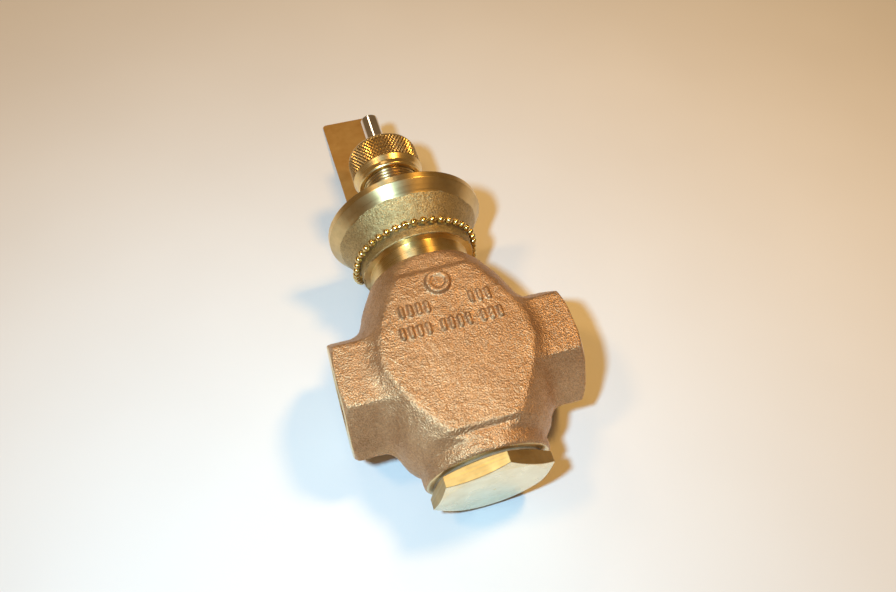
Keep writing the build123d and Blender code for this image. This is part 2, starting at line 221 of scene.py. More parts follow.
# ---------------------------------------------------------------------------------------------
# Materials. Texture places are worked out in millimetres of the valve's own frame.
# ---------------------------------------------------------------------------------------------
class Nodes:
    """A small helper that adds and links shader nodes of one material."""

    def __init__(self, name):
        self.material = bpy.data.materials.new(name)
        self.material.use_nodes = True
        self.tree = self.material.node_tree
        self.shader = self.tree.nodes["Principled BSDF"]

    def add(self, kind, inputs=(), **settings):
        node = self.tree.nodes.new(kind)
        for key, value in settings.items():
            setattr(node, key, value)
        for key, value in dict(inputs).items():
            if isinstance(value, bpy.types.NodeSocket):
                self.tree.links.new(value, node.inputs[key])
            else:
                node.inputs[key].default_value = value
        return node

    def place(self, stretch=(1, 1, 1)):
        """Millimetres in the valve's frame, divided by stretch."""
        where = self.add("ShaderNodeTexCoord").outputs["Object"]
        offset = self.add("ShaderNodeVectorMath", {0: where, 1: valve_centre}, operation="SUBTRACT")
        rotation = VALVE_TURN.inverted().to_euler()
        turned = self.add(
            "ShaderNodeMapping", {"Vector": offset.outputs[0], "Rotation": rotation}
        )
        scale = [1 / MM / s for s in stretch]
        return self.add(
            "ShaderNodeVectorMath", {0: turned.outputs[0], 1: scale}, operation="MULTIPLY"
        ).outputs[0]

    def noise(self, place, scale, detail=3.0, roughness=0.55, distortion=0.0):
        return self.add(
            "ShaderNodeTexNoise",
            {
                "Vector": place,
                "Scale": scale,
                "Detail": detail,
                "Roughness": roughness,
                "Distortion": distortion,
            },
        ).outputs["Fac"]

    def cells(self, place, scale, feature="F1"):
        return self.add(
            "ShaderNodeTexVoronoi", {"Vector": place, "Scale": scale}, feature=feature
        ).outputs["Distance"]

    def ramp(self, value, *stops):
        node = self.add("ShaderNodeValToRGB", {"Fac": value})
        elements = node.color_ramp.elements
        while len(elements) < len(stops):
            elements.new(0.5)
        for element, (position, colour) in zip(elements, stops):
            element.position = position
            element.color = (*colour, 1) if len(colour) == 3 else colour
        return node.outputs["Color"]

    def between(self, value, low, high, new_low, new_high):
        return self.add(
            "ShaderNodeMapRange",
            {
                "Value": value,
                "From Min": low,
                "From Max": high,
                "To Min": new_low,
                "To Max": new_high,
            },
        ).outputs["Result"]

    def math(self, operation, a, b=0.0):
        return self.add("ShaderNodeMath", {0: a, 1: b}, operation=operation).outputs[0]

    def mix(self, factor, a, b):
        node = self.add("ShaderNodeMix", data_type="RGBA")
        for key, value in (("Factor", factor), ("A", a), ("B", b)):
            socket = [s for s in node.inputs if s.name == key and s.enabled][0]
            if isinstance(value, bpy.types.NodeSocket):
                self.tree.links.new(value, socket)
            else:
                socket.default_value = value if key == "Factor" else (*value, 1)
        return [s for s in node.outputs if s.enabled][0]

    def bump(self, height, distance, strength=1.0, normal=None):
        """distance is the bump's height in millimetres."""
        inputs = {"Height": height, "Distance": distance * MM, "Strength": strength}
        if normal is not None:
            inputs["Normal"] = normal
        return self.add("ShaderNodeBump", inputs).outputs["Normal"]

    def brushed_round(self, amount):
        """Stretch highlights across the turning marks, which run round the stem axis."""
        around = self.add("ShaderNodeTangent", direction_type="RADIAL", axis="Y").outputs[0]
        self.finish(Anisotropic=amount, Anisotropic_Rotation=0.25, Tangent=around)

    def finish(self, **inputs):
        for key, value in inputs.items():
            socket = self.shader.inputs[key.replace("_", " ")]
            if isinstance(value, bpy.types.NodeSocket):
                self.tree.links.new(value, socket)
            elif isinstance(value, tuple):
                socket.default_value = (*value, 1)
            else:
                socket.default_value = value
        return self.material


def lathe_lines(n, place, fineness):
    """Fine turning marks: noise that changes only along the stem."""
    flat = n.add(
        "ShaderNodeVectorMath", {0: place, 1: (0.02, fineness, 0.02)}, operation="MULTIPLY"
    ).outputs[0]
    return n.noise(flat, 1.0, 4.0, 0.7)


def cast_bronze():
    n = Nodes("cast_bronze")
    place = n.place()
    tone = n.noise(place, 0.09, 3.0, 0.6)
    grain = n.noise(place, 1.8, 4.0, 0.65)
    pits = n.cells(place, 1.9)
    colour = n.ramp(
        tone,
        (0.30, (0.50, 0.29, 0.145)),
        (0.52, (0.60, 0.36, 0.185)),
        (0.72, (0.68, 0.43, 0.235)),
    )
    shade = n.ramp(grain, (0.34, (0.46, 0.40, 0.36)), (0.62, (1.0, 1.0, 1.0)))
    speckled = n.add("ShaderNodeMix", data_type="RGBA", blend_type="MULTIPLY")
    speckled.inputs[0].default_value = 0.55
    n.tree.links.new(colour, speckled.inputs[6])
    n.tree.links.new(shade, speckled.inputs[7])
    coarse = n.bump(grain, 0.24, 1.0)
    fine = n.bump(pits, 0.16, 0.9, coarse)
    return n.finish(
        Base_Color=speckled.outputs[2],
        Metallic=0.86,
        Roughness=n.between(grain, 0.3, 0.7, 0.52, 0.38),
        Normal=fine,
    )


def turned_metal(name, low, high, roughness, line_depth, fineness=9.0, brushed=0.8):
    """Brass or steel with lathe lines round the stem axis and slightly uneven tarnish."""
    n = Nodes(name)
    n.brushed_round(brushed)
    place = n.place()
    lines = lathe_lines(n, place, fineness)
    stain = n.noise(place, 0.22, 4.0, 0.6)
    colour = n.ramp(stain, (0.35, low), (0.65, high))
    return n.finish(
        Base_Color=colour,
        Metallic=1.0,
        Roughness=n.between(lines, 0.3, 0.7, roughness * 0.75, roughness * 1.3),
        Normal=n.bump(lines, line_depth, 0.6),
    )


def forged_brass():
    """The cone of the bonnet, which keeps the dull sandy skin of its forging."""
    n = Nodes("forged_brass")
    place = n.place()
    waves = n.noise(place, 0.25, 3.0, 0.6)
    grain = n.noise(place, 0.75, 4.0, 0.8)
    speck = n.noise(place, 1.8, 3.0, 0.7)
    colour = n.ramp(waves, (0.3, (0.41, 0.29, 0.125)), (0.7, (0.55, 0.40, 0.185)))
    dusty = n.mix(n.between(speck, 0.46, 0.62, 0.0, 0.7), colour, (0.24, 0.155, 0.06))
    return n.finish(
        Base_Color=dusty,
        Metallic=1.0,
        Roughness=n.between(grain, 0.3, 0.7, 0.54, 0.40),
        Normal=n.bump(speck, 0.07, 0.9, n.bump(grain, 0.38, 1.0)),
    )


def chain_brass():
    n = Nodes("chain_brass")
    place = n.place()
    spots = n.noise(place, 0.8, 3.0, 0.6)
    return n.finish(
        Base_Color=n.ramp(spots, (0.3, (0.60, 0.42, 0.14)), (0.7, (0.85, 0.66, 0.30))),
        Metallic=1.0,
        Roughness=n.between(spots, 0.3, 0.7, 0.14, 0.3),
        Normal=n.bump(spots, 0.02, 0.5),
    )


def tag_brass():
    n = Nodes("tag_brass")
    place = n.place()
    streaks = n.noise(n.place(stretch=(0.12, 6.0, 1.0)), 1.0, 4.0, 0.7)
    stain = n.noise(place, 0.16, 4.0, 0.65)
    return n.finish(
        Base_Color=n.ramp(stain, (0.3, (0.58, 0.31, 0.08)), (0.7, (0.70, 0.42, 0.13))),
        Metallic=0.8,
        Roughness=n.between(streaks, 0.3, 0.7, 0.40, 0.55),
        Normal=n.bump(streaks, 0.01, 0.6),
    )


def soft_plastic(name, low, high, roughness, grain_depth):
    """PTFE, rubber and fibre: a dull material with faint mottling and grain."""
    n = Nodes(name)
    place = n.place()
    mottle = n.noise(place, 0.7, 3.0, 0.6)
    grain = n.noise(place, 5.0, 2.0, 0.5)
    return n.finish(
        Base_Color=n.ramp(mottle, (0.3, low), (0.7, high)),
        Roughness=n.between(grain, 0.3, 0.7, roughness * 0.85, min(1.0, roughness * 1.15)),
        Normal=n.bump(grain, grain_depth, 0.7),
    )


def floor_paper():
    n = Nodes("pale_floor")
    where = n.add("ShaderNodeTexCoord").outputs["Object"]
    broad = n.noise(where, 9.0, 3.0, 0.5)
    fibre = n.noise(where, 1400.0, 3.0, 0.6)
    return n.finish(
        Base_Color=n.ramp(broad, (0.3, (0.78, 0.755, 0.735)), (0.7, (0.82, 0.80, 0.785))),
        Roughness=0.8,
        Normal=n.bump(fibre, 0.05, 0.35),
    )


bronze = cast_bronze()
cone_skin = forged_brass()
bonnet_metal = turned_metal(
    "bonnet_brass", (0.66, 0.47, 0.20), (0.78, 0.60, 0.31), 0.31, 0.006, brushed=0.85
)
# Flange bevel: the same brass turned a little rougher, with its colour darkened as painted shade
# for the bevel's dark side.
bevel_painted_shade_metal = turned_metal(
    "bevel_brass_painted_shade", (0.52, 0.38, 0.18), (0.64, 0.48, 0.24), 0.36, 0.003, brushed=0.6
)
# Thread valleys and knurl grooves: dark brass for dirt held in the grooves, and also painted shade
# where the grooves shade each other.
groove_dirt_and_shade_metal = turned_metal(
    "groove_brass_dirt_and_painted_shade", (0.26, 0.16, 0.06), (0.36, 0.23, 0.10), 0.42, 0.004, brushed=0.0
)
nut_metal = turned_metal(
    "nut_brass", (0.74, 0.54, 0.24), (0.86, 0.68, 0.35), 0.26, 0.006, brushed=0.0
)
cap_metal = turned_metal(
    "cap_brass", (0.80, 0.68, 0.44), (0.88, 0.78, 0.55), 0.27, 0.012, brushed=0.0
)
# Hexagon flats of the cap: a darkened copy of the cap brass, painted shade and painted dark
# reflection on the flats.
flat_painted_shade_metal = turned_metal(
    "cap_flat_brass_painted_shade", (0.40, 0.25, 0.085), (0.50, 0.33, 0.12), 0.42, 0.012, 2.0, brushed=0.0
)
steel = turned_metal(
    "stem_steel", (0.70, 0.66, 0.65), (0.84, 0.80, 0.79), 0.13, 0.002, brushed=0.0
)
inner_brass = turned_metal("inner_brass", (0.68, 0.50, 0.24), (0.78, 0.60, 0.32), 0.3, 0.01)
spring_wire = turned_metal("spring_steel", (0.33, 0.33, 0.34), (0.46, 0.46, 0.47), 0.32, 0.004)
chain_metal = chain_brass()
tag_metal = tag_brass()
ptfe = soft_plastic("ptfe", (0.84, 0.83, 0.79), (0.91, 0.90, 0.87), 0.42, 0.01)
fibre = soft_plastic("gasket_fibre", (0.20, 0.13, 0.07), (0.30, 0.20, 0.11), 0.75, 0.03)
wiper = soft_plastic("wiper_rubber", (0.02, 0.02, 0.02), (0.045, 0.043, 0.04), 0.55, 0.015)

cad_looks = {
    "bonnet_gasket": fibre,
    "bottom_cap_gasket": fibre,
    "seat_ring": inner_brass,
    "plug": inner_brass,
    "plug_disc": ptfe,
    "disc_retainer": inner_brass,
    "plug_pin": steel,
    "stem_guide_bush": inner_brass,
    "packing_washer": steel,
    "packing_spring": spring_wire,
    "packing_lower_adapter": ptfe,
    "packing_v_rings": ptfe,
    "packing_upper_adapter": ptfe,
    "gland_follower": inner_brass,
    "stem_wiper": wiper,
    "chain_connector": chain_metal,
    "tag": tag_metal,
}
for node_name, look in cad_looks.items():
    slots = frame["nodes"][node_name].data.materials
    for index in range(len(slots)):
        slots[index] = look


# ---------------------------------------------------------------------------------------------
# Body casting: distances to simple shapes on a grid, blended like a casting's soft corners
# ---------------------------------------------------------------------------------------------
def outline_distance(across, height, outline):
    """Signed distance from each (across, height) place to a closed outline, negative inside."""
    best = np.full(across.shape, np.inf)
    inside = np.zeros(across.shape, bool)
    for (x0, y0), (x1, y1) in zip(outline, outline[1:] + outline[:1]):
        dx, dy = x1 - x0, y1 - y0
        t = np.clip(((across - x0) * dx + (height - y0) * dy) / (dx * dx + dy * dy), 0, 1)
        best = np.minimum(best, (across - x0 - t * dx) ** 2 + (height - y0 - t * dy) ** 2)
        if dy != 0:
            crossing = (y0 > height) != (y1 > height)
            inside ^= crossing & (across < (x1 - x0) * (height - y0) / dy + x0)
    return np.where(inside, -1, 1) * np.sqrt(best)


def smooth_noise(shape, cell, rng):
    """Smooth random heights of about unit size that change over cell grid steps."""
    coarse = rng.standard_normal([int(n / cell) + 4 for n in shape]).astype(np.float32)
    field = coarse
    for axis, n in enumerate(shape):
        where = np.arange(n) / cell + 1
        low = where.astype(int)
        t = (where - low).astype(np.float32)
        weights = (
            (1 - t) ** 3 / 6,
            (3 * t**3 - 6 * t**2 + 4) / 6,
            (-3 * t**3 + 3 * t**2 + 3 * t + 1) / 6,
            t**3 / 6,
        )
        column = [1, 1, 1]
        column[axis] = n
        field = sum(
            np.take(field, low - 1 + k, axis=axis) * w.reshape(column).astype(np.float32)
            for k, w in enumerate(weights)
        )
    return field


def mark_heights(across, height):
    """Height of the generic foundry marks on a pad: a dished round button over two rows of plain
    upright bars, in groups where a casting carries its size marks."""
    distance = np.full(across.shape, np.inf)
    for row, groups in MARK_ROWS:
        for middle, count in groups:
            for index in range(count):
                bar = middle + (index - (count - 1) / 2) * MARK_PITCH
                beyond = np.maximum(np.abs(height - row) - MARK_HALF, 0)
                distance = np.minimum(distance, np.hypot(across - bar, beyond))
    bars = np.clip((0.85 - distance) / 0.4, 0, 1)
    button_r = np.hypot(across, height - BUTTON_HEIGHT)
    disc = np.clip((3.95 - button_r) / 0.5, 0, 1)
    dish = np.clip((2.5 - button_r) / 0.7, 0, 1)
    return 0.95 * bars + 1.4 * disc - 0.6 * dish


def build_body():
    step = 0.36
    low = np.array((-HALF_LENGTH - 1.5, BOSS_FACE - 1.5, -PAD_DEPTH - 2.5))
    high = np.array((HALF_LENGTH + 1.5, NECK_TOP + 1.5, PAD_DEPTH + 2.5))
    axes = [np.arange(a, b, step, dtype=np.float32) for a, b in zip(low, high)]
    x, y, z = np.meshgrid(*axes, indexing="ij", sparse=True)
    radial = np.sqrt(x * x + z * z)
    height = np.broadcast_to(y, np.broadcast_shapes(x.shape, y.shape, z.shape))
    radial = np.broadcast_to(radial, height.shape)

    barrel_outline = [
        (0.0, NECK_TOP),
        (NECK_R, NECK_TOP),
        (NECK_R + 1.2, 30.5),
        (22.6, 24.0),
        (26.0, 14.6),
        (28.4, 7.0),
        (29.0, 3.0),
        (29.0, -3.0),
        (26.4, -12.0),
        (23.6, -19.5),
        (21.3, -24.6),
        (BOSS_R, -27.4),
        (BOSS_R, BOSS_FACE + BOSS_CHAMFER),
        (BOSS_R - BOSS_CHAMFER, BOSS_FACE),
        (0.0, BOSS_FACE),
    ]
    barrel = outline_distance(radial, height, barrel_outline)
    # Flat pads front and back, stepping in towards the neck and the boss
    side = [
        (NECK_R - 0.05, NECK_TOP + 9),
        (NECK_R, NECK_TOP),
        (NECK_R + 0.4, 26.2),
        (PAD_DEPTH, 24.4),
        (PAD_DEPTH, -24.2),
        (BOSS_R - 0.5, -25.6),
        (BOSS_R, -27.4),
        (BOSS_R, BOSS_FACE - 9),
    ]
    side_y = np.array([point[1] for point in side])[::-1]
    side_z = np.array([point[0] for point in side])[::-1]
    depth = np.interp(y, side_y, side_z)
    slab = np.abs(z) - depth
    casting = smooth_max(barrel, slab, 0.9)

    third = math.sqrt(3) / 2
    flats = smooth_max(np.abs(z), np.abs(y * third + z * 0.5), 0.8)
    flats = smooth_max(flats, np.abs(y * third - z * 0.5), 0.8) - HEX_HALF
    casting = smooth_min(casting, np.broadcast_to(flats, casting.shape), 3.2)
    casting = np.maximum(casting, np.abs(x) - HALF_LENGTH)
    # The corners of the pipe hexagons are turned off to a shallow cone
    pipe_r = np.sqrt(y * y + z * z)
    cone_slope = (2 * HEX_HALF * 0.58 - CORNER_R) / CORNER_CUT
    corner = pipe_r - CORNER_R - (HALF_LENGTH - np.abs(x)) * cone_slope
    corner = corner / math.hypot(1, cone_slope)
    casting = np.maximum(casting, np.where(np.abs(x) > 30, corner, -9))

    # Raised marks on the front pad only, and a faint parting line round the middle
    front = np.clip((z - PAD_DEPTH + 1.5) / 0.5, 0, 1)
    pad_shape = (x.shape[0], y.shape[1], 1)
    marks = mark_heights(np.broadcast_to(x, pad_shape), np.broadcast_to(y, pad_shape))
    on_casting = np.clip((HALF_LENGTH - 0.8 - np.abs(x)) / 0.8, 0, 1)
    on_casting = on_casting * np.clip((y - BOSS_FACE - 0.4) / 0.8, 0, 1)
    on_casting = on_casting * np.clip((NECK_TOP - 0.3 - y) / 0.8, 0, 1)
    seam = np.clip(1 - np.abs(z) / 0.5, 0, 1) * 0.22 * on_casting
    rng = np.random.default_rng(RNG_SEED)
    shape = casting.shape
    sand = 0.14 * smooth_noise(shape, 0.75 / step, rng)
    sand = sand + 0.03 * smooth_noise(shape, 2.2 / step, rng)
    sand = sand + 0.08 * smooth_noise(shape, 7.0 / step, rng)
    casting = casting - marks * front - seam - sand * on_casting

    # Bores, chambers and slanted water ways
    bore = np.maximum(pipe_r - (PIPE_BORE_R + 1.1), HALF_LENGTH - PIPE_THREAD_DEPTH - np.abs(x))
    upper = np.maximum(radial - CHAMBER_R, BRIDGE_HALF - height)
    lower = np.maximum(radial - CHAMBER_R, height + BRIDGE_HALF)
    screws = np.maximum(radial - SCREW_R, SCREW_FLOOR - np.abs(height))
    seat = np.maximum(radial - SEAT_THREAD_R, np.abs(height) - BRIDGE_HALF - 1.0)
    cavity = np.minimum(np.minimum(upper, lower), np.minimum(screws, seat))
    cavity = np.minimum(cavity, bore)
    half_duct = DUCT_LENGTH / 2
    for end in (-1, 1):
        inwards = x - end * DUCT_START
        run = (inwards * -end + y * end) / math.sqrt(2)
        off = np.sqrt((inwards + y) ** 2 / 2 + z * z)
        duct = np.maximum(off - DUCT_R, np.abs(run - half_duct) - half_duct)
        cavity = np.minimum(cavity, duct)
    casting = np.maximum(casting, -cavity)

    band = 3 * step
    grid = openvdb.FloatGrid(band)
    grid.copyFromArray(np.clip(casting, -band, band).astype(np.float32))
    points, quads = grid.convertToQuads(0.0)
    points = points.astype(float) * step + low
    quads = quads[:, ::-1]
    x, y, _, radial = face_centres(points, quads)
    machined = np.abs(x) > HALF_LENGTH - 0.25
    machined |= y > NECK_TOP - 0.2
    machined |= (y < BOSS_FACE + 0.2) & (radial > SCREW_R)
    looks = ([bronze, inner_brass], machined)
    return make_object(
        "body_casting", to_row(points), quads, looks, BODY, ["body"], sharp=None
    )


build_body()


# ---------------------------------------------------------------------------------------------
# Pipe threads: a screwed sleeve that lines each pipe end
# ---------------------------------------------------------------------------------------------
def build_pipe_thread(name, end):
    pitch = 1.814
    crest = PIPE_BORE_R
    depth = 1.05
    outer = crest + 1.25
    mouth = HALF_LENGTH - 0.01
    bottom = HALF_LENGTH - PIPE_THREAD_DEPTH
    segments = 144
    places = list(np.arange(bottom, mouth - 1.3, pitch / 8)) + [mouth - 1.2]
    outline = [(crest, place) for place in places]
    outline += [(outer, mouth), (outer, bottom)]
    outline = np.array(outline, float)
    angle = np.linspace(0, 2 * math.pi, segments, endpoint=False)[None, :]
    radius = outline[:, 0][:, None] * np.ones_like(angle)
    along = outline[:, 1][:, None] * np.ones_like(angle)
    turn = along / pitch - angle / (2 * math.pi)
    wave = np.abs((turn % 1) - 0.5) * 2
    groove = depth * np.clip((wave - 0.12) / 0.76, 0, 1)
    runout = np.clip((along - bottom - 0.5) / 1.5, 0, 1)
    radius = radius + np.where(radius < crest + 0.01, groove * runout, 0)
    radius[len(places) - 1] = crest + 0.15
    points = np.stack([end * along, radius * np.cos(angle), radius * np.sin(angle) * end], axis=-1)
    points = to_row(points.reshape(-1, 3))
    faces = grid_faces(len(outline), segments, True)
    return make_object(name, points, faces, inner_brass, BODY)


for thread_name, thread_end in (("inlet_thread", -1), ("outlet_thread", 1)):
    build_pipe_thread(thread_name, thread_end)


# ---------------------------------------------------------------------------------------------
# Bonnet with a real screw thread on its neck
# ---------------------------------------------------------------------------------------------
def build_bonnet():
    neck_r = NECK_THREAD_R
    pitch = NECK_THREAD_PITCH
    depth = NECK_THREAD_DEPTH
    screw_r = SCREW_R - SCREW_GAP
    shoulder = NECK_TOP + 0.6
    outline = [
        (8.0, BONNET_BOTTOM),
        (screw_r, BONNET_BOTTOM),
        (screw_r, shoulder, 0.05),
        (SPIGOT_R, shoulder, 0.15),
        (SPIGOT_R, 38.1, 0.1),
        (COLLAR_R, 38.7, 0.35),
        (COLLAR_R, 43.2, 1.2),
        (CONE_R, CONE_TOP, 0.12),
        (RIM_R, RIM_BOTTOM, 0.15),
        (RIM_R, RIM_TOP, 0.2),
        (HUB_R, RIM_TOP, 0.1),
        (HUB_R, HUB_TOP, 0.2),
        (neck_r - depth, HUB_TOP, 0.3),
        (neck_r - depth, HUB_TOP + 1.5, 0.2),
        (neck_r, HUB_TOP + 2.2, 0.1),
        (neck_r, NECK_THREAD_TOP - 1.0, 0.1),
        (neck_r - 1.0, NECK_THREAD_TOP, 0.1),
        (PACKING_BORE_R, NECK_THREAD_TOP, 0.1),
        (PACKING_BORE_R, PACKING_FLOOR, 0.1),
        (5.0, PACKING_FLOOR, 0.1),
        (5.0, 28.5, 0.1),
        (8.0, 28.5, 0.1),
    ]
    profile = subdivided(rounded(outline, 0.1, 4), pitch / 8)

    def thread(angle, radius, height):
        turn = height / pitch + angle / (2 * math.pi)
        wave = np.abs((turn % 1) - 0.5) * 2
        cut = depth * np.clip((wave - 0.1) / 0.8, 0, 1)
        on_neck = (radius > neck_r - 0.3) & (height > HUB_TOP + 1.5) & (radius < 10)
        start = np.clip((height - HUB_TOP - 2.0) / 0.8, 0, 1)
        start = start * np.clip((NECK_THREAD_TOP - 0.8 - height) / 0.5, 0, 1)
        cone = (radius > 18.0) & (height > 39.5) & (height < 51.5)
        lumps = 0.05 * np.sin(5 * angle + height * 0.7) * np.sin(11 * angle - height * 0.9)
        return np.where(on_neck, -cut * start, 0) + np.where(cone, lumps, 0)

    points, faces = lathe(profile, 224, thread)
    x, height, z, radius = face_centres(points, faces)
    around = np.arctan2(z, x)
    wander = 0.16 * np.sin(7 * around) + 0.12 * np.sin(17 * around + 1) + 0.08 * np.sin(41 * around)
    above_spigot = height > 38.6 + wander * 0.5
    below_bevel = height < CONE_TOP - 0.1 + wander * 0.8
    sandy = above_spigot & below_bevel & (radius > 17.6)
    # The flange bevel takes the darkened bevel brass: painted shade.
    bevel = ~sandy & (height > CONE_TOP - 1.0) & (height < RIM_BOTTOM) & (radius > CONE_R - 1.0)
    # Faces in the neck thread's valleys take the dark groove brass: dirt and painted shade.
    groove = (height > HUB_TOP + 2.0) & (radius > 8.0) & (radius < neck_r - 0.4 * depth)
    look_of_face = np.select([sandy, bevel, groove], [1, 2, 3], 0)
    looks = ([bonnet_metal, cone_skin, bevel_painted_shade_metal, groove_dirt_and_shade_metal], look_of_face)
    return make_object(
        "bonnet_turned", to_row(points), faces, looks, BODY, ["bonnet"], sharp=28
    )


build_bonnet()


# ---------------------------------------------------------------------------------------------
# Packing nut with a diamond knurl
# ---------------------------------------------------------------------------------------------
def build_nut():
    ridges = 62
    knurl_pitch = 1.75
    knurl_depth = 0.42
    wiper_floor = NUT_TOP - 2.4
    stem_hole_r = STEM_R + 0.375
    outline = [
        (NUT_BORE_R, NUT_BOTTOM, 0.3),
        (11.0, NUT_BOTTOM, 0.2),
        (11.4, NUT_BOTTOM + 0.5, 0.3),
        (11.4, NUT_BOTTOM + 2.1, 0.2),
        (KNURL_R, NUT_BOTTOM + 3.9, 0.12),
        (KNURL_R, NUT_TOP - 3.0, 0.7),
        (11.5, NUT_TOP - 1.4, 1.0),
        (10.0, NUT_TOP - 0.3, 0.8),
        (8.6, NUT_TOP, 0.4),
        (WIPER_R, NUT_TOP, 0.2),
        (WIPER_R, wiper_floor, 0.1),
        (stem_hole_r, wiper_floor, 0.1),
        (stem_hole_r, NUT_CEILING, 0.1),
        (NUT_BORE_R, NUT_CEILING, 0.1),
    ]
    profile = subdivided(rounded(outline, 0.1, 5), 0.16)

    def knurl(angle, radius, height):
        around = angle * ridges / (2 * math.pi)
        up = height / knurl_pitch
        first = np.abs(((around + up) % 1) - 0.5) * 2
        second = np.abs(((around - up) % 1) - 0.5) * 2
        pyramid = np.minimum(np.clip(first * 1.25, 0, 1), np.clip(second * 1.25, 0, 1))
        start = np.clip((height - NUT_BOTTOM - 4.05) / 0.3, 0, 1)
        start = start * np.clip((NUT_TOP - 2.0 - height) / 1.2, 0, 1)
        outside = radius > 11.2
        return np.where(outside, (pyramid - 1) * knurl_depth * start, 0)

    points, faces = lathe(profile, 620, knurl)
    x, height, z, radius = face_centres(points, faces)
    cut = knurl(np.arctan2(-z, x), KNURL_R, height)
    # Faces deep in the knurl's grooves take the dark groove brass: dirt and painted shade.
    groove = (radius > 10.5) & (cut < -0.55 * knurl_depth)
    looks = ([nut_metal, groove_dirt_and_shade_metal], groove)
    return make_object(
        "nut_knurled",
        to_row(points),
        faces,
        looks,
        "nut",
        ["packing_nut"],
        sharp=40,
    )


build_nut()


# ---------------------------------------------------------------------------------------------
# Bottom cap: hexagon flats cut by a round chamfer on each side
# ---------------------------------------------------------------------------------------------
def build_cap():
    half = CAP_HALF
    face_r = 15.35
    face = CAP_FACE
    back = CAP_BACK
    screw_r = SCREW_R - SCREW_GAP
    hollow_r = CHAMBER_R - 1.0
    turn = math.radians(CAP_TURN)
    segments = 72 * 6
    angle = np.arange(segments) * 2 * math.pi / segments
    in_sector = (angle - turn) % (math.pi / 3) - math.pi / 6
    hex_r = half / np.cos(in_sector)
    front_slope = math.tan(math.radians(17.0))
    back_slope = math.tan(math.radians(12.0))
    edge = 0.10
    rows = []

    def add_row(radius, height):
        radius = np.broadcast_to(radius, angle.shape)
        height = np.broadcast_to(height, angle.shape)
        rows.append(np.stack([radius * np.cos(angle), height, radius * np.sin(angle)], axis=-1))

    add_row(0.02, face + 0.35)
    for radius in (0.5, 1.5, 4.0, 8.0, 12.0, face_r - 0.3):
        add_row(radius, face)
    add_row(face_r - edge, face)
    add_row(face_r + edge, face + edge * front_slope * 1.2)
    chamfer_height = face + (hex_r - face_r) * front_slope
    add_row(hex_r - edge, chamfer_height - edge * front_slope)
    add_row(hex_r, chamfer_height + edge)
    back_height = back - (hex_r - half + 0.3) * back_slope
    add_row(hex_r, (chamfer_height + back_height) / 2)
    add_row(hex_r, back_height - edge)
    add_row(hex_r - edge, back_height)
    add_row(half - 0.3, back - 0.02)
    add_row(SCREW_R + 0.2, back)
    add_row(screw_r, back + 0.2)
    add_row(screw_r, CAP_PLUG_TOP)
    add_row(hollow_r, CAP_PLUG_TOP)
    add_row(hollow_r, back)
    add_row(0.02, back)
    points = np.concatenate(rows)
    faces = grid_faces(len(rows), segments, False)[:, ::-1]
    _, height, _, radius = face_centres(points, faces)
    # The hexagon flats take the darkened flat brass: painted shade and painted dark reflection.
    on_flat = (radius > half - 0.02) & (height > face + 0.9) & (height < back - 0.1)
    looks = ([cap_metal, flat_painted_shade_metal], on_flat)
    return make_object(
        "cap_hexagon", to_row(points), faces, looks, BODY, ["bottom_cap"], sharp=14
    )


build_cap()


# ---------------------------------------------------------------------------------------------
# Stem with its chamfered end
# ---------------------------------------------------------------------------------------------
def build_stem():
    middle_r = 0.02
    mark_half = 0.3
    mark_r = STEM_R - 0.25
    chamfer = 0.5
    outline = [
        (middle_r, STEM_BOTTOM),
        (STEM_R, STEM_BOTTOM),
        (STEM_R, GRIP_MARK - mark_half, 0.05),
        (mark_r, GRIP_MARK - mark_half, 0.05),
        (mark_r, GRIP_MARK + mark_half, 0.05),
        (STEM_R, GRIP_MARK + mark_half, 0.05),
        (STEM_R, STEM_TOP - chamfer, 0.1),
        (STEM_R - chamfer, STEM_TOP, 0.1),
        (middle_r, STEM_TOP, 0.01),
    ]
    profile = subdivided(rounded(outline, 0.1, 3), 2.0)
    points, faces = lathe(profile, 96)
    return make_object(
        "stem_ground",
        to_row(points),
        faces,
        steel,
        "stem_group",
        ["stem"],
        sharp=25,
    )


build_stem()


# ---------------------------------------------------------------------------------------------
# Ball chain: one ball for each CAD ball, with a pinched seam, joined by wire links
# ---------------------------------------------------------------------------------------------
def islands(node):
    """The corner points of each separate solid of a CAD node, in row-frame metres."""
    mesh = frame["nodes"][node].data
    keys = {}
    owner = []
    for vertex in mesh.vertices:
        owner.append(keys.setdefault(tuple(round(c, 7) for c in vertex.co), len(keys)))
    parent = list(range(len(keys)))

    def root(i):
        while parent[i] != i:
            parent[i] = parent[parent[i]]
            i = parent[i]
        return i

    for edge in mesh.edges:
        a, b = (root(owner[v]) for v in edge.vertices)
        parent[a] = b
    groups = {}
    for key, index in keys.items():
        groups.setdefault(root(index), []).append(key)
    return [np.array(points) for points in groups.values()]


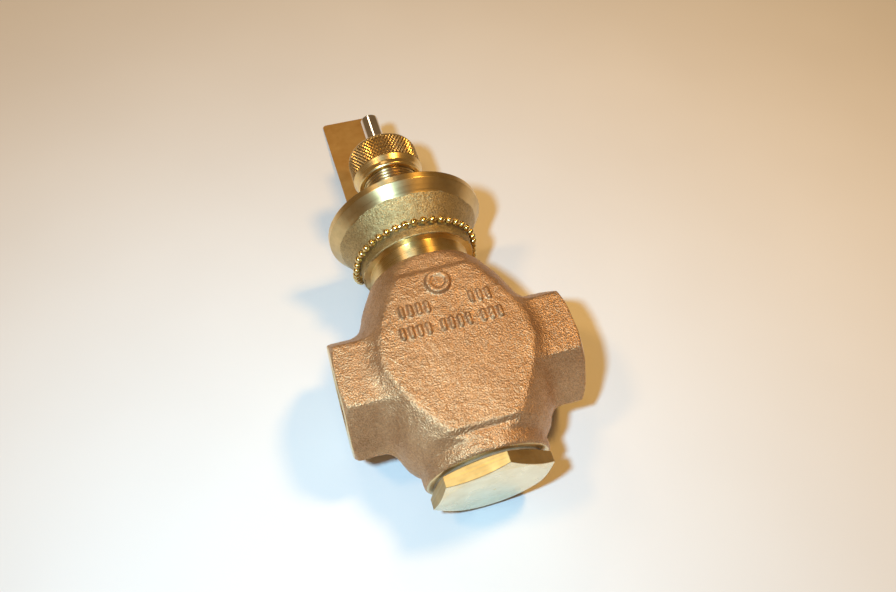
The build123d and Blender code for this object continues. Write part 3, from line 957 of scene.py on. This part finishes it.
def build_chain():
    balls = islands("chain_beads")
    centres = [(points.min(0) + points.max(0)) / 2 for points in balls]
    ball_r = (balls[0].max(0) - balls[0].min(0)).max() / 2
    order = [0]
    left = set(range(1, len(centres)))
    while left:
        here = centres[order[-1]]
        nearest = min(left, key=lambda i: np.linalg.norm(centres[i] - here))
        order.append(nearest)
        left.remove(nearest)
    centres = [centres[i] for i in order]
    rows, columns = 15, 22
    latitude = np.linspace(0.16, math.pi - 0.16, rows)
    longitude = np.linspace(0, 2 * math.pi, columns, endpoint=False)
    seam = 1 - 0.02 * np.exp(-(((latitude - math.pi / 2) / 0.12) ** 2))
    ball_points, ball_faces = [], []
    wire_points, wire_faces = [], []
    link_r = 0.32 * MM
    for index, centre in enumerate(centres):
        before = centres[index - 1]
        after = centres[(index + 1) % len(centres)]
        axis = Vector(after - before).normalized()
        turn = np.array(axis.to_track_quat("Z", "Y").to_matrix())
        ring_r = np.sin(latitude) * ball_r * seam
        local = np.stack(
            [
                ring_r[:, None] * np.cos(longitude),
                ring_r[:, None] * np.sin(longitude),
                (np.cos(latitude) * ball_r)[:, None] * np.ones(columns),
            ],
            axis=-1,
        ).reshape(-1, 3)
        start = len(ball_points) * rows * columns
        ball_points.append(local @ turn.T + centre)
        ball_faces.append(grid_faces(rows, columns, True)[:, ::-1] + start)
        span = Vector(after - centre)
        link_turn = np.array(span.normalized().to_track_quat("Z", "Y").to_matrix())
        wire_ring = np.linspace(0, 2 * math.pi, 10, endpoint=False)
        inner, outer = ball_r * 0.55, ball_r * 0.8
        lengths = np.array((inner, outer, span.length - outer, span.length - inner))
        widths = np.array((0.6, 1.0, 1.0, 0.6)) * link_r
        wire = np.stack(
            [
                widths[:, None] * np.cos(wire_ring),
                widths[:, None] * np.sin(wire_ring),
                lengths[:, None] * np.ones(10),
            ],
            axis=-1,
        ).reshape(-1, 3)
        wire_start = len(wire_points) * 40
        wire_points.append(wire @ link_turn.T + centre)
        wire_faces.append(grid_faces(4, 10, True) + wire_start)
    make_object(
        "chain_balls",
        np.concatenate(ball_points),
        np.concatenate(ball_faces),
        chain_metal,
        BODY,
        ["chain_beads"],
        sharp=60,
    )
    make_object(
        "chain_wires",
        np.concatenate(wire_points),
        np.concatenate(wire_faces),
        chain_metal,
        BODY,
        ["chain_links"],
    )


build_chain()

# ---------------------------------------------------------------------------------------------
# Stage: pale floor, camera, lights
# ---------------------------------------------------------------------------------------------
def valve_point(x, y, z):
    return VALVE @ (Vector((x, y, z)) * MM)


def build_floor():
    half = 1.5
    mesh = bpy.data.meshes.new("floor")
    corners = [(-half, -half, 0), (half, -half, 0), (half, half, 0), (-half, half, 0)]
    mesh.from_pydata(corners, [], [(0, 1, 2, 3)])
    mesh.materials.append(floor_paper())
    floor = bpy.data.objects.new("floor", mesh)
    bpy.context.scene.collection.objects.link(floor)


build_floor()


# The camera in the valve's frame: its place in millimetres, two directions, and lens in millimetres
CAMERA_PLACE = (-39.23, -89.67, 206.79)
CAMERA_FORWARD = (0.18698, 0.47862, -0.85788)
CAMERA_RIGHT = (0.95476, -0.29411, 0.04401)
CAMERA_LENS = 30.56


def build_camera():
    camera = bpy.data.objects.new("camera", bpy.data.cameras.new("camera"))
    bpy.context.scene.collection.objects.link(camera)
    forward = VALVE_TURN @ Vector(CAMERA_FORWARD)
    right = VALVE_TURN @ Vector(CAMERA_RIGHT)
    forward.normalize()
    up = right.cross(forward).normalized()
    right = forward.cross(up).normalized()
    turn = Matrix((right, up, -forward)).transposed()
    camera.matrix_world = Matrix.Translation(valve_point(*CAMERA_PLACE)) @ turn.to_4x4()
    camera.data.sensor_width = 36.0
    camera.data.lens = CAMERA_LENS
    camera.data.clip_start = 0.005
    bpy.context.scene.camera = camera


build_camera()


def area_light(name, place, target, size, power, colour):
    data = bpy.data.lights.new(name, "AREA")
    data.shape = "DISK"
    data.size = size
    data.energy = power
    data.color = colour
    light = bpy.data.objects.new(name, data)
    bpy.context.scene.collection.objects.link(light)
    light.location = place
    light.rotation_euler = (target - place).to_track_quat("-Z", "Y").to_euler()


# A cool flash beside the camera, two warm room lamps and a faint fill from beyond the stem tip:
# each with its place in the valve's frame, disk size in metres, power in watts and colour
LIGHTS = (
    ("flash", (-85, -65, 225), 0.02, 0.8, (0.42, 0.74, 1.0)),
    ("lamp", (190, 60, 420), 0.08, 0.98, (1.0, 0.57, 0.15)),
    ("side_lamp", (-330, 100, 560), 0.10, 0.8, (1.0, 0.60, 0.20)),
    ("top_fill", (-80, 480, 380), 0.10, 0.22, (1.0, 0.80, 0.56)),
)
aim = valve_point(0, 20, 0)
for light_name, light_place, light_size, light_power, light_colour in LIGHTS:
    area_light(light_name, valve_point(*light_place), aim, light_size, light_power, light_colour)

world = bpy.data.worlds.new("studio")
bpy.context.scene.world = world
world.use_nodes = True
background = world.node_tree.nodes["Background"]
background.inputs["Color"].default_value = (1.0, 0.62, 0.28, 1)
background.inputs["Strength"].default_value = 0.2

bpy.context.scene.view_settings.view_transform = "Standard"
